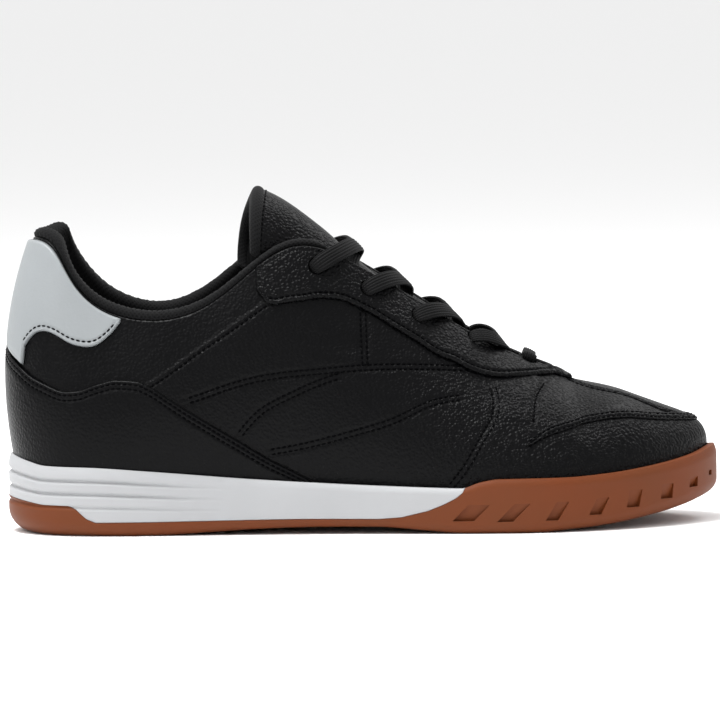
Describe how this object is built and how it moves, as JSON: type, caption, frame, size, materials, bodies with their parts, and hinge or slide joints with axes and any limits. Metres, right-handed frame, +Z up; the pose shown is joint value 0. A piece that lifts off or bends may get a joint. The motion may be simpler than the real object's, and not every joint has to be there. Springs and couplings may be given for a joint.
{
  "type": "indoor soccer shoe",
  "caption": "Low indoor soccer shoe for the right foot: hollow leather upper with padded collar, tongue and crossed flat laces on a foam midsole and flat gum rubber outsole.",
  "frame": {"origin": "on the floor under the middle of the shoe's bounding box", "axes": "+X from heel to toe, +Y towards the medial side (the other foot), +Z up from the floor"},
  "size_m": [0.2196, 0.0832, 0.1052],
  "materials": {
    "gum_rubber": "matte moulded",
    "white_foam": "smooth moulded foam",
    "black_leather": "pebbled, semi-gloss",
    "white_leather": "smooth, satin",
    "black_knit": "knitted",
    "black_cord": "flat woven, ribbed"
  },
  "bodies": {
    "root": {"outsole": "gum_rubber", "midsole": "white_foam", "insole": "black_knit", "upper": "black_leather", "collar_lining": "black_knit", "tongue": "black_leather", "eyestay": "black_leather", "heel_tab": "white_leather", "heel_counter": "black_leather", "toe_seam": "black_leather", "lace_cross_1": "black_cord", "lace_cross_2": "black_cord", "lace_cross_3": "black_cord", "lace_cross_4": "black_cord", "lace_bar_5": "black_cord"}
  },
  "joints": []
}
